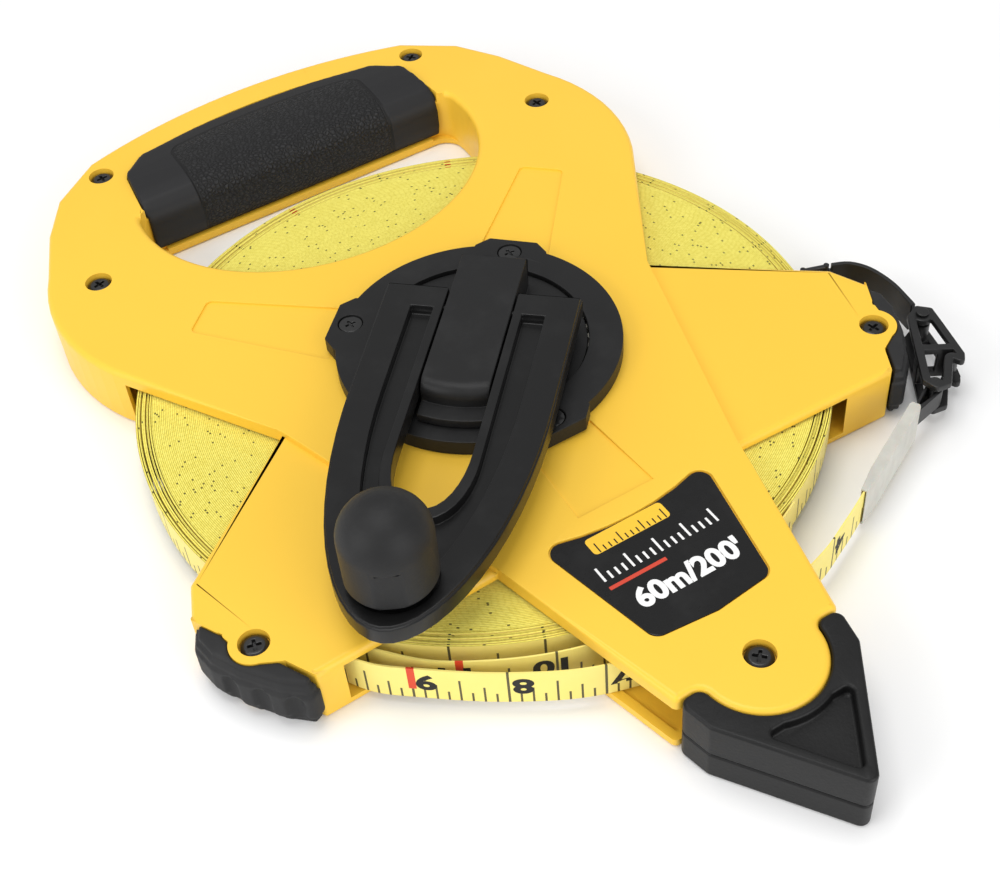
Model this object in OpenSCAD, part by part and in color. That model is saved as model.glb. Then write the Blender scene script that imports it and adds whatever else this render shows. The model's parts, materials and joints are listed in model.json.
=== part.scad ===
// Open-frame surveyor tape reel with a geared crank, a carrying handle and a folding crank arm.
// +Z is up through the reel, +Y points to the handle and -Y to the nose; the origin is on the reel's
// axis, on the flat underside of the frame.

/* [Frame] */
// Height of the head and the spike above the underside
deck_top = 21.4; // [20.8:0.1:22]
// Height of the two side feet above the underside
foot_top = 19.4; // [19.2:0.1:19.8]
// Height at which the two frame halves meet
split_z = 9.5; // [8.5:0.1:10.5]
// Thickness of the top and bottom plates of the frame
plate_t = 2.4; // [2:0.1:2.6]
// Thickness of the walls round the frame
wall_t = 2.6; // [2:0.1:3]
// Radius of the recess for a case screw's head
screw_recess_r = 4.4; // [4.2:0.1:4.8]
// Height of the grip above the underside
grip_top = 23.4; // [22.6:0.1:24]

/* [Tape] */
// Outer radius of the full coil of tape
coil_r = 106.5; // [100:0.5:107]
// Outer radius of the empty drum
drum_r = 43.4; // [42:0.1:44]
// Width of the tape
tape_w = 12.7; // [12:0.1:12.9]
// Thickness of the tape's loose end
tape_t = 0.6; // [0.4:0.1:0.7]

/* [Hub and gears] */
// Radius of the hub cover
cover_r = 43.7; // [43:0.1:44.5]
// Top of the hub cover above the underside
cover_top = 26.6; // [26.4:0.1:26.7]
// Radius of the axle
axle_r = 5; // [4.5:0.1:5.2]
// Size of the gear teeth, as pitch diameter over teeth
gear_module = 1.4; // [1.38:0.01:1.4]
// Teeth on the sun gear
sun_teeth = 24; // [24:12:24]
// Teeth on each planet gear
planet_teeth = 12; // [12:12:12]

/* [Crank] */
// Direction in which the crank arm points at rest
crank_angle = -133; // [-180:1:-90]
// Half width of the crank arm across its prongs
arm_half_w = 30.3; // [29:0.1:31]
// Top of the crank arm above the underside
arm_top = 36.2; // [36:0.1:36.6]
// Underside of the crank arm above the underside of the frame
arm_bottom = 29.9; // [29.8:0.1:30.2]
// Distance from the axle to the middle of the knob
knob_u = 101.5; // [99:0.5:103]
// Radius of the knob
knob_r = 12.5; // [11:0.1:13]
// Top of the knob above the underside
knob_top = 65.5; // [62:0.5:68]

/* [Hidden] */
$fn = 64;
eps = 0.01;

// ---- heights shared by several pieces
tape_lo = 3.4;
tape_hi = tape_lo + tape_w;
lip_z = tape_hi + 0.8;
lower_lip_top = tape_lo - 0.3;
grip_seat = 17.4;
gear_lo = 17.6;
gear_hi = 23.4;
turn_lo = 23.7;
turn_top = 25.4;

// ---- frame outline
case_screw_xy = [[85.3, 101.5], [-85.3, 101.5], [63.1, 155.9], [-63.1, 155.9], [0, -136.4]];
foot_screw_xy = [[104.8, -58.8], [-104.8, -58.8]];
nose_arc_r = 17.8;
wall_from_r = 110.5;
tape_exit_r = 117;
spike_open_y = 90;
hub_hole_r = 38.2;
post_r = 5;
boss_r = 12;
boss_top = 8;
axle_foot = 1.2;
shank_r = 1.65;
pilot_r = 1.7;
head_r = 3.9;
tab_screw_r = 40.9;
tab_angles = [45, 135, 270];

// ---- gears
planet_count = 3;
pressure_angle = 20;
addendum = 0.8 * gear_module;
dedendum = 1.05 * gear_module;
ring_teeth = sun_teeth + 2 * planet_teeth;
sun_pitch_r = gear_module * sun_teeth / 2;
planet_pitch_r = gear_module * planet_teeth / 2;
ring_pitch_r = gear_module * ring_teeth / 2;
planet_orbit_r = sun_pitch_r + planet_pitch_r;
backlash = 0.09;
ring_outer_r = 37.8;
pin_r = 2.5;
running = 0.06;

// ---- crank
turn_r = 33;
block_half_w = 10.2;
block_front = 32.8;
block_round = 4;
hinge_u = -4;
hinge_z = 33.2;
hinge_r = 1.5;
barrel_r = 2.9;
prong_in = 10.8;
arm_end_r = 7.4;
groove_in = 13.6;
groove_out = 20.6;
groove_depth = 3;
knob_base = 38.5;
spindle_r = 3;
flat_r = 40;

// ---- tape end hardware
sleeve_a = [60, -106.8];
sleeve_b = [94.5, -89.6];
tab_bar = [106, -85.2];
link_hinge = [123.2, -60.6];
eye_xy = [114.6, -25.4];
hw_lo = 4;
hw_hi = 15.5;
rail_t = 2.2;

// ================= helpers =================
function arc(c, r, a0, a1, n) = [for (i = [0:n]) c + r * [cos(a0 + (a1 - a0) * i / n), sin(a0 + (a1 - a0) * i / n)]];
function rev(v) = [for (i = [len(v) - 1:-1:0]) v[i]];
function mirror_x(v) = [for (p = rev(v)) [-p[0], p[1]]];
function unit(v) = v / norm(v);
function left_of(v) = [-v[1], v[0]];
// a smooth curve through the points, n steps between each pair
function spline(p, n) = concat([for (i = [0:len(p) - 2]) each [for (k = [0:n - 1])
    let (t = k / n, a = p[max(i - 1, 0)], b = p[i], c = p[i + 1], d = p[min(i + 2, len(p) - 1)])
    0.5 * (2 * b + (c - a) * t + (2 * a - 5 * b + 4 * c - d) * t * t + (3 * b - a - 3 * c + d) * t * t * t)]],
    [p[len(p) - 1]]);
// the outline of a band of width w along an open line of points
function band(p, w) = let (m = [for (i = [0:len(p) - 1]) left_of(unit(p[min(i + 1, len(p) - 1)] - p[max(i - 1, 0)]))])
    concat([for (i = [0:len(p) - 1]) p[i] + m[i] * w / 2], [for (i = [len(p) - 1:-1:0]) p[i] - m[i] * w / 2]);

module plate(z0, z1) { translate([0, 0, z0]) linear_extrude(z1 - z0) children(); }
module round_convex(r) { offset(r) offset(-r) children(); }
module round_concave(r) { offset(-r) offset(r) children(); }
module tube(r_in, r_out, z0, z1) {
    plate(z0, z1) difference() {
        circle(r_out);
        circle(r_in);
    }
}

// ================= frame outlines =================
head_half = concat(arc([0, -19.7], 196, 90, 71, 10), [[80.9, 151.8], [90.5, 135.3]],
                   arc([42, 87.3], 62.7, 26, -27, 10), [[65.7, 4.8]]);
spike_half = [[40.3, -75.6], [25.6, -136.2], [0, -136.2]];

module deck_2d() {
    round_concave(3) round_convex(2) union() {
        polygon(concat(head_half, spike_half, mirror_x(spike_half), mirror_x(head_half)));
        translate([0, -136.4]) circle(nose_arc_r);
    }
}

foot_pts = [[-4, 40], [66, 5.3], [111, -31], [115.7, -42.5], [97.3, -77.3], [41.2, -75.6], [-4, -75.6]];

module foot_2d(side) {
    scale([side, 1]) round_convex(1) union() {
        difference() {
            polygon(foot_pts);
            polygon([[111.2, -50.5], [130, -50.5], [130, -90], [96, -90], [96, -77], [101, -67.5]]);
        }
        polygon([[90, -45], [111, -51.8], [108, -64.6], [100.8, -68.5], [90, -70]]);
        translate([104.8, -58.8]) circle(6.9);
    }
}

module body_2d() {
    deck_2d();
    foot_2d(1);
    foot_2d(-1);
}

module opening_2d(front_y) {
    round_convex(7) intersection() {
        translate([0, 117.5]) scale([62, 54.3]) circle(1);
        translate([-70, 40]) square([140, front_y - 40]);
    }
}

module beyond_coil_2d() {
    difference() {
        square(420, center = true);
        circle(wall_from_r);
    }
}

// the strip of frame outline that carries a full wall: clear of the coil, the tape's exit and the spike's open sides
module wall_2d() {
    difference() {
        intersection() {
            difference() {
                body_2d();
                offset(-wall_t) body_2d();
            }
            beyond_coil_2d();
        }
        translate([-60, -179]) square([120, 179 - spike_open_y]);
        intersection() {
            translate([-100, -90]) square([60, 40]);
            circle(tape_exit_r);
        }
    }
}

module opening_rim_2d(front_y) {
    difference() {
        offset(wall_t) opening_2d(front_y);
        opening_2d(front_y);
    }
}

// the outline of the rubber grip, seen from above
module grip_2d(inset = 0) {
    round_convex(6) offset(-inset)
        polygon(concat(arc([0, -19.7], 184, 104.8, 75.2, 12), [[56, 150], [58.5, 129], [56, 122],
                       [-56, 122], [-58.5, 129], [-56, 150]]));
}

module nose_2d() {
    round_convex(2.6) polygon([[25.6, -136.3], [23.4, -147], [0, -181.8], [-23.4, -147], [-25.6, -136.3]]);
}

module tab_2d(r_out, half_w) {
    for (a = tab_angles) rotate(a) polygon([[20, -half_w], [r_out - 4, -half_w], [r_out, -half_w + 4],
                                            [r_out, half_w - 4], [r_out - 4, half_w], [20, half_w]]);
}

// ================= frame =================
module screw_posts(z0, z1) {
    for (p = concat(case_screw_xy, foot_screw_xy)) translate(p) translate([0, 0, z0]) cylinder(r = post_r, h = z1 - z0);
}

module bottom_frame() {
    color("#f2b63a") difference() {
        union() {
            plate(0, plate_t) difference() {
                body_2d();
                opening_2d(126.4);
            }
            plate(0, split_z) wall_2d();
            plate(0, lower_lip_top) difference() {
                deck_2d();
                offset(-wall_t) deck_2d();
                translate([-120, -spike_open_y]) square([240, 300]);
            }
            plate(0, split_z) intersection() {
                opening_rim_2d(129);
                beyond_coil_2d();
            }
            plate(0, 3.2) difference() {
                translate([-54, 126.4]) square([108, 6]);
                offset(-1) opening_2d(126.4);
            }
            screw_posts(0, split_z);
            cylinder(r = boss_r, h = boss_top);
            for (a = [30:60:330]) rotate(a) translate([boss_r - 1, -0.8, 0]) cube([25, 1.6, 3]);
        }
        translate([0, 0, axle_foot]) cylinder(r = axle_r, h = boss_top);
        for (p = concat(case_screw_xy, foot_screw_xy)) translate(p) translate([0, 0, 2]) cylinder(r = pilot_r, h = 9);
    }
}

module panel_recesses() {
    // shallow panels on the two upper arms and one above the label
    for (s = [-1, 1]) scale([s, 1]) rotate(45.6)
        plate(deck_top - 0.7, deck_top + 1) round_convex(2) polygon([[44, -11.8], [92.6, -7.4], [92.6, 7.4], [44, 11.8]]);
    plate(deck_top - 0.7, deck_top + 1) polygon([[-10.8, -44], [10.8, -44], [12.6, -73], [-12.6, -73]]);
}

module label_2d(inset = 0) {
    offset(-inset) round_convex(3.6) difference() {
        polygon([[-27.8, -74], [27.8, -74], [18.6, -117.6], [0, -119.4], [-18.6, -117.6]]);
        circle(80.6);
    }
}

module top_frame() {
    color("#fdd45a") difference() {
        union() {
            plate(deck_top - plate_t, deck_top) deck_2d();
            plate(foot_top - plate_t, foot_top) {
                foot_2d(1);
                foot_2d(-1);
            }
            plate(lip_z, deck_top) difference() {
                deck_2d();
                offset(-wall_t) deck_2d();
            }
            plate(lip_z, deck_top) opening_rim_2d(129);
            plate(split_z, foot_top) wall_2d();
            plate(foot_top - eps, deck_top) intersection() {
                wall_2d();
                deck_2d();
            }
            plate(split_z, deck_top) intersection() {
                opening_rim_2d(129);
                beyond_coil_2d();
            }
            for (p = foot_screw_xy) translate(p) translate([0, 0, split_z]) cylinder(r = post_r, h = foot_top - split_z);
            for (p = case_screw_xy) translate(p) translate([0, 0, split_z]) cylinder(r = post_r, h = deck_top - split_z);
            for (a = tab_angles) rotate(a) translate([tab_screw_r + 1, 0, lip_z]) cylinder(r = 3.6, h = deck_top - lip_z);
        }
        plate(lip_z - 10, deck_top + 1) opening_2d(129);
        plate(grip_seat, 30) grip_2d();
        translate([0, 0, lip_z - 1]) cylinder(r = hub_hole_r, h = 10);
        for (a = tab_angles) rotate(a) translate([tab_screw_r, 0, lip_z - 1]) cylinder(r = pilot_r, h = 10);
        for (p = foot_screw_xy) translate(p) {
            translate([0, 0, split_z - 1]) cylinder(r = 2.1, h = 14);
            translate([0, 0, foot_top - 3.2]) cylinder(r = screw_recess_r, h = 5);
        }
        for (p = case_screw_xy) translate(p) {
            translate([0, 0, split_z - 1]) cylinder(r = 2.1, h = 14);
            translate([0, 0, deck_top - 3.2]) cylinder(r = screw_recess_r, h = 5);
        }
        plate(deck_top - 0.9, deck_top + 1) label_2d(-0.4);
        panel_recesses();
    }
    color("#fdd45a") plate(15, grip_seat) intersection() {
        grip_2d(-1);
        difference() {
            deck_2d();
            opening_2d(129);
        }
    }
}

module pan_screw(top, bottom) {
    difference() {
        union() {
            translate([0, 0, bottom]) cylinder(r = shank_r, h = top - 1 - bottom);
            translate([0, 0, top - 2.2]) cylinder(r = head_r, h = 1.4);
            translate([0, 0, top - 0.8]) cylinder(r1 = head_r, r2 = head_r - 1.1, h = 0.8);
        }
        for (a = [0, 90]) rotate(a) translate([-1.9, -0.45, top - 1.4]) cube([3.8, 0.9, 2]);
    }
}

module case_screws() {
    color("#1c1c1e") {
        for (p = case_screw_xy) translate(p) rotate(p[0] + p[1]) pan_screw(deck_top - 1, 2.6);
        for (p = foot_screw_xy) translate(p) rotate(p[0]) pan_screw(foot_top - 1, 2.6);
    }
}

module handle_grip() {
    color("#2a2a2c") intersection() {
        translate([-60, 0, 0]) rotate([90, 0, 90]) linear_extrude(120)
            polygon(concat([[165, grip_seat + 0.05], [165, deck_top - 0.4]],
                           [[163, deck_top + 0.3], [157, 22.6], [150, 23.2],
                            [143, grip_top], [137, 23], [132, 21.8]], arc([134, 14], 7.4, 120, 180, 6),
                           [[126.5, 8], [127.1, 4.6], [128, 3.4], [128.95, 3.4], [128.95, grip_seat + 0.05]]));
        union() {
            plate(grip_seat, 30) grip_2d(0.1);
            // the lip in front hangs inside the hand opening
            plate(0, grip_seat + eps) intersection() {
                grip_2d(0.1);
                offset(-0.1) opening_2d(129);
            }
        }
    }
}

module nose_half(z0, z1) {
    plate(z0, z1) difference() {
        nose_2d();
        offset(0.1) deck_2d();
    }
}

module nose_tongue(z0, z1) {
    // the part that reaches under the frame's round end and is held by the screw's post
    plate(z0, z1) intersection() {
        offset(0.6) deck_2d();
        difference() {
            translate([-24, -160]) square([48, 23]);
            translate([0, -136.4]) circle(post_r + 0.15);
        }
        nose_2d();
    }
}

module nose_upper() {
    color("#242426") difference() {
        union() {
            nose_half(split_z + 0.05, deck_top - 0.1);
            nose_tongue(split_z + 0.05, lip_z - 0.1);
        }
        plate(deck_top - 3.4, deck_top + 1) round_convex(1.5) difference() {
            polygon([[-13.6, -155.6], [13.6, -155.6], [0, -176.4]]);
            translate([0, -136.4]) circle(20.6);
        }
    }
}

module nose_lower() {
    color("#242426") {
        nose_half(0.05, split_z - 0.05);
        nose_tongue(lower_lip_top + 0.05, split_z - 0.05);
    }
}

module bumper_2d(inset, side) {
    scale([side, 1]) difference() {
        offset(-inset) round_convex(2) polygon([[115.4, -42.2], [118.4, -48.5], [117.2, -56], [113, -64.5], [105.8, -74.5],
                                 [99.4, -80.2], [96, -78.6], [94, -74], [100, -60], [104, -44]]);
        offset(0.1) scale([side, 1]) foot_2d(side);
        polygon([[60, -90], [97.1, -77.1], [104, -64], [111.2, -51], [115.6, -42.5], [108, -30], [60, -30]]);
    }
}

module bumper(side) {
    color("#37373a") {
        plate(0.4, 2.6) bumper_2d(2.4, side);
        plate(2.6, 5.2) bumper_2d(1, side);
        plate(5.2, 14.4) bumper_2d(0, side);
        plate(14.4, 17) bumper_2d(0.8, side);
        plate(17, foot_top - 0.1) bumper_2d(2, side);
    }
}

module left_bumper() { bumper(-1); }
module right_bumper() { bumper(1); }

module length_label() {
    color("#222224") plate(deck_top - 0.9, deck_top - 0.4) label_2d();
}

// ================= reel =================
module axle() {
    color("#c9cbce") difference() {
        translate([0, 0, axle_foot]) cylinder(r = axle_r, h = 28.3);
        tube(axle_r - 0.8, axle_r + 1, 28.3, 29);
    }
}

module axle_clip() {
    color("#8d9094") plate(28.35, 28.95) difference() {
        circle(7.6);
        circle(axle_r - 0.8);
        translate([0, -1.6]) square([9, 3.2]);
    }
}

module lower_washer() { color("#d8d9da") tube(axle_r + 0.2, 11, 8, 8.6); }
module upper_washer() { color("#d8d9da") tube(axle_r + 0.2, 9.4, 23.24, turn_lo); }

module reel_drum() {
    color("#262628") difference() {
        union() {
            tube(drum_r - 3.4, drum_r, tape_lo, tape_hi);
            tube(7, drum_r - 3, 10, 12.2);
            tube(7, 12, 8.9, tape_hi);
            for (a = [0:60:300]) rotate(a) translate([11, -1, 5]) cube([30, 2, tape_hi - 5.6]);
        }
        for (a = [30:60:330]) rotate(a) translate([26, 0, 0]) cylinder(r = 7.5, h = 20);
        rotate(30) translate([drum_r - 1.7, 0, tape_lo + 0.4]) cylinder(r = 0.9, h = tape_w);
        cylinder(r = 7, h = 30);
        cylinder(r = boss_r + 0.6, h = boss_top + 0.7);
    }
}

module reel_bush() { color("#e3d9b8") tube(axle_r + running, 7, 8.75, 23.15); }
module wound_tape() { color("#e9e15a") tube(drum_r, coil_r, tape_lo, tape_hi); }
module tape_anchor() {
    color("#b9bcc0") rotate(30) translate([drum_r - 1.7, 0, tape_lo + 0.4]) cylinder(r = 0.9, h = tape_w - 0.4);
}

// ================= gears =================
function involute_deg(a) = tan(a) * 180 / PI - a;
function tooth_half(rho, teeth, play) = let (rp = gear_module * teeth / 2, rb = rp * cos(pressure_angle),
    a = acos(min(1, rb / max(rho, rb)))) 90 / teeth - play + involute_deg(pressure_angle) - involute_deg(a);
function polar(r, a) = [r * cos(a), r * sin(a)];

// teeth round the pitch circle; play is in degrees at the pitch radius and thins each tooth
module gear_2d(teeth, root_r, tip_r, play) {
    base_r = max(gear_module * teeth / 2 * cos(pressure_angle), root_r);
    steps = 3;
    rho = [for (i = [0:steps]) base_r + (tip_r - base_r) * i / steps];
    polygon([for (t = [0:teeth - 1]) let (c = 360 * t / teeth) each concat(
        [polar(root_r, c - tooth_half(base_r, teeth, play))],
        [for (r = rho) polar(r, c - tooth_half(r, teeth, play))],
        [for (r = rev(rho)) polar(r, c + tooth_half(r, teeth, play))],
        [polar(root_r, c + tooth_half(base_r, teeth, play))])]);
}

function play_deg(pitch_r) = backlash / pitch_r * 180 / PI;

module sun_2d() {
    difference() {
        rotate(crank_angle) gear_2d(sun_teeth, sun_pitch_r - dedendum, sun_pitch_r + addendum, play_deg(sun_pitch_r));
        circle(7);
    }
}

module planet_2d() {
    rotate(180 / planet_teeth) gear_2d(planet_teeth, planet_pitch_r - dedendum, planet_pitch_r + addendum,
                                       play_deg(planet_pitch_r));
}

module ring_2d() {
    difference() {
        circle(ring_outer_r);
        rotate(crank_angle + 180 / ring_teeth) gear_2d(ring_teeth, ring_pitch_r - addendum, ring_pitch_r + dedendum,
                                         -play_deg(ring_pitch_r));
    }
}

module sun_gear() { color("#dedbd0") plate(tape_hi, 23.15) sun_2d(); }
module ring_gear() { color("#d9d5c6") plate(gear_lo, gear_hi) ring_2d(); }

module planet_gear(i) {
    color("#e4e0d2") rotate(crank_angle + 180 + i * 120) translate([planet_orbit_r, 0, 0]) difference() {
        plate(gear_lo, gear_hi) planet_2d();
        translate([0, 0, gear_lo - 1]) cylinder(r = pin_r + running, h = 10);
    }
}

module planet_gear_1() { planet_gear(0); }
module planet_gear_2() { planet_gear(1); }
module planet_gear_3() { planet_gear(2); }

module at_planets() { for (i = [0:planet_count - 1]) rotate(crank_angle + 180 + i * 120) translate([planet_orbit_r, 0, 0]) children(); }

module planet_pins() {
    color("#b9bcc0") at_planets() translate([0, 0, 16.6]) cylinder(r = pin_r, h = turn_top - 0.4 - 16.6);
}

module carrier_plate() {
    color("#a9acb0") difference() {
        tube(19, 31, 16.6, 17.3);
        at_planets() translate([0, 0, 16]) cylinder(r = pin_r, h = 3);
    }
}

// ================= hub cover =================
module hub_cover() {
    color("#2b2b2d") difference() {
        plate(deck_top + 0.02, cover_top) union() {
            circle(cover_r);
            tab_2d(46.8, 11.8);
        }
        translate([0, 0, gear_hi - 20]) cylinder(r = ring_outer_r, h = 20.05);
        translate([0, 0, 20]) cylinder(r = turn_r + 0.4, h = 10);
        for (a = tab_angles) rotate(a) translate([tab_screw_r, 0, 0]) {
            translate([0, 0, 20]) cylinder(r = 2.1, h = 10);
            translate([0, 0, cover_top - 1.9]) cylinder(r = 3.9, h = 4);
        }
    }
}

module cover_screws() {
    color("#1c1c1e") for (a = tab_angles) rotate(a) translate([tab_screw_r, 0, 0]) rotate(a) difference() {
        union() {
            translate([0, 0, lip_z]) cylinder(r = shank_r, h = cover_top - 1 - lip_z);
            translate([0, 0, cover_top - 1.9]) cylinder(r = 3.6, h = 1.5);
        }
        for (b = [0, 90]) rotate(b) translate([-1.7, -0.4, cover_top - 1.1]) cube([3.4, 0.8, 2]);
    }
}

// ================= crank =================
module block_2d(w, u0, u1) {
    intersection() {
        translate([u0, -w]) square([80, 2 * w]);
        circle(u1);
    }
}

module crank_hub() {
    color("#242426") rotate(crank_angle) difference() {
        union() {
            plate(turn_lo, turn_top) circle(turn_r);
            plate(turn_top, 28.4) block_2d(block_half_w, -27, 32.6);
            plate(28.4, 29.8) block_2d(block_half_w, -27, 38.4);
            plate(26.95, 28.5) intersection() {
                block_2d(block_half_w, 20, 38.4);
                difference() {
                    circle(50);
                    circle(32);
                }
            }
            // the top of the block, rounded down at its front
            intersection() {
                translate([-27, -block_half_w, 29.7]) cube([80, 2 * block_half_w, arm_top - 29.7]);
                rotate_extrude() polygon(concat([[0, 29.7], [block_front, 29.7]],
                    arc([block_front - block_round, arm_top - block_round], block_round, 0, 90, 6), [[0, arm_top]]));
            }
        }
        translate([0, 0, 20]) cylinder(r = axle_r + running, h = 9);
        translate([0, 0, 27.6]) cylinder(r = 8.4, h = 3.4);
        rotate(180) for (i = [0:planet_count - 1]) rotate(i * 120) translate([planet_orbit_r, 0, 20])
            cylinder(r = pin_r, h = turn_top - 0.4 - 20);
        arm_barrels(hinge_r, 6.4, 26.4);
    }
}

module arm_pins() {
    color("#4a4b4e") rotate(crank_angle) arm_barrels(hinge_r, 6.4, 24.6);
}

arm_nose_u = 34;
arm_nose_len = 83.2;
arm_side = concat([[-11.4, arm_half_w], [arm_nose_u, arm_half_w - 0.3]],
                  [for (i = [1:14]) let (a = 90 - 90 * i / 14)
                   [arm_nose_u + arm_nose_len * cos(a), (arm_half_w - 0.3) * pow(sin(a), 1.04)]]);

module arm_2d() { polygon(concat(arm_side, [for (p = rev(arm_side)) [p[0], -p[1]]])); }

module slot_2d(w, u_end) {
    polygon(concat([[-40, w], [u_end - 22, w]],
                   [for (i = [1:8]) let (a = 90 - 90 * i / 8) [u_end - 22 + 22 * cos(a), w * pow(sin(a), 0.8)]],
                   [for (i = [7:-1:1]) let (a = 90 - 90 * i / 8) [u_end - 22 + 22 * cos(a), -w * pow(sin(a), 0.8)]],
                   [[u_end - 22, -w], [-40, -w]]));
}

module groove_2d() {
    difference() {
        intersection() {
            offset(-(arm_half_w - groove_out)) arm_2d();
            translate([-8.6, -40]) square([140, 80]);
        }
        slot_2d(groove_in, 81);
    }
    translate([knob_u - 1, 0]) circle(11.6);
}

module arm_barrels(r, v0, v1) {
    for (s = [-1, 1]) translate([hinge_u, s * v0, hinge_z]) rotate([-90 * s, 0, 0]) cylinder(r = r, h = v1 - v0);
}

module crank_arm() {
    color("#202022") rotate(crank_angle) difference() {
        union() {
            difference() {
                union() {
                    plate(arm_bottom, arm_top - 0.8) arm_2d();
                    plate(arm_top - 0.8, arm_top) offset(-0.6) arm_2d();
                }
                plate(arm_bottom - 1, arm_top + 1) slot_2d(prong_in, 77);
                plate(arm_top - groove_depth, arm_top + 1) groove_2d();
            }
            arm_barrels(barrel_r, groove_in - 1, groove_out + 1);
            translate([knob_u, 0, 0]) tube(spindle_r, 8, arm_top - groove_depth - eps, knob_base - 0.4);
        }
        // the rear end is rounded about the hinge so that the arm can swing over
        difference() {
            translate([-30, -40, 20]) cube([30 + hinge_u, 80, 30]);
            translate([hinge_u, -50, hinge_z]) rotate([-90, 0, 0]) cylinder(r = arm_end_r, h = 100);
        }
        arm_barrels(hinge_r + running, 5, 25);
        translate([knob_u, 0, 20]) cylinder(r = spindle_r, h = 30);
        translate([knob_u, 0, 20]) cylinder(r = 5.2, h = arm_bottom + 1.4 - 20);
    }
}

module knob_spindle() {
    color("#b9bcc0") rotate(crank_angle) translate([knob_u, 0, 0]) {
        translate([0, 0, arm_bottom + 0.1]) cylinder(r = 5, h = 1.3);
        translate([0, 0, arm_bottom + 1]) cylinder(r = spindle_r, h = 24);
        translate([0, 0, arm_bottom + 24.9]) cylinder(r = spindle_r + 1.2, h = 1.2);
    }
}

module crank_knob() {
    color("#3a3a3c") rotate(crank_angle) translate([knob_u, 0, 0]) difference() {
        rotate_extrude() polygon(concat([[0, knob_base], [knob_r - 1.4, knob_base], [knob_r - 0.5, knob_base + 0.6],
                                         [knob_r, knob_base + 1.8], [knob_r, knob_top - 11.5]],
                                        [for (i = [1:10]) [knob_r * cos(9 * i), knob_top - 11.5 + 11.5 * sin(9 * i)]]));
        for (a = [15:120:255]) rotate(a) translate([knob_r + flat_r - 0.9, 0, knob_base - 1]) cylinder(r = flat_r, h = 15);
        translate([0, 0, knob_base - 1]) cylinder(r = spindle_r + running, h = 18);
        translate([0, 0, arm_bottom + 24.6]) cylinder(r = spindle_r + 1.5, h = 1.9);
    }
}

// ================= loose end of the tape =================
tail_route = [[-97.6, -46.6], [-91.6, -61.8], [-83.6, -77.4], [-73.2, -87.4], [-53.9, -102.3], [-31.6, -114.4],
              [0, -122], [20, -121], [37, -117], [48.5, -112.2], [60, -106.8]];
inner_route = [[-94.7, -50.4], [-86.6, -65], [-77, -78.3], [-65, -90.4], [-42.8, -102.8], [-20, -109.2],
               [4, -110], [27, -104.8], [42, -98.6]];

module tape_tail() {
    color("#f0e878") plate(tape_lo, tape_hi) {
        polygon(band(concat(spline(tail_route, 5), [sleeve_b - 1.2 * unit(sleeve_b - sleeve_a)]), tape_t));
        polygon(band(spline(inner_route, 4), tape_t));
    }
}

module tape_sleeve() {
    d = sleeve_b - sleeve_a;
    color("#d6d6cf") translate(sleeve_a) rotate(atan2(d[1], d[0])) difference() {
        plate(tape_lo - 0.9, tape_hi + 0.9) polygon([[0, -0.9], [9, -1.7], [norm(d) - 1, -1.7], [norm(d), -1.2],
                                                    [norm(d), 1.2], [norm(d) - 1, 1.7], [9, 1.7], [0, 0.9]]);
        plate(tape_lo - 0.1, tape_hi + 0.1) translate([-2, -0.55]) square([norm(d) + 1.2, 1.1]);
    }
}

module end_tab() {
    along = unit(sleeve_b - sleeve_a);
    start = sleeve_b + 1 * along;
    color("#2e3033") plate(hw_lo + rail_t + 0.3, hw_hi - rail_t - 0.3) difference() {
        hull() {
            translate(start) circle(0.9);
            translate(tab_bar) circle(2.6);
        }
        hull() {
            translate(start + 3 * along) circle(0.3);
            translate(tab_bar) circle(1.7);
        }
    }
}

module link_outline_2d() {
    round_convex(1.2) polygon([[103.6, -82.4], [118.9, -58.6], [124.2, -56.4], [127.6, -60.2], [125.4, -68],
                               [121.6, -81], [118.8, -84.2], [117.2, -80.6], [109.6, -88.4], [104.6, -87.6]]);
}

module link_rail_2d() {
    difference() {
        link_outline_2d();
        round_concave(1) difference() {
            offset(-2.5) link_outline_2d();
            translate([113.9, -72.5]) rotate(-32) square([22, 2.6], center = true);
            translate(link_hinge) circle(3.4);
            translate(tab_bar) circle(2.2);
        }
    }
    translate(tab_bar) circle(1.9);
}

module end_link() {
    color("#1b1b1d") difference() {
        union() {
            plate(hw_lo, hw_lo + rail_t) link_rail_2d();
            plate(hw_hi - rail_t, hw_hi) link_rail_2d();
            plate(hw_lo + 1, hw_hi - 1) intersection() {
                link_rail_2d();
                union() {
                    translate([110.4, -74.5]) circle(2.6);
                    translate([119.4, -76.5]) circle(3.4);
                    translate([117.4, -69.5]) circle(2.4);
                }
            }
            translate([tab_bar[0], tab_bar[1], hw_lo]) cylinder(r = 1.4, h = hw_hi - hw_lo);
        }
        translate([link_hinge[0], link_hinge[1], 0]) cylinder(r = 1.2, h = 20);
    }
}

module link_pin() {
    color("#9b9da0") translate([link_hinge[0], link_hinge[1], hw_lo - 0.5]) {
        cylinder(r = 1.2, h = hw_hi - hw_lo + 1);
        translate([0, 0, -0.5]) cylinder(r = 2, h = 0.6);
        translate([0, 0, hw_hi - hw_lo + 0.9]) cylinder(r = 2, h = 0.6);
    }
}

hook_route = [[123.9, -57.6], [124.9, -52], [126, -43.5], [125, -34.5], [121.6, -28.6], [116.4, -25.8]];

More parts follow.
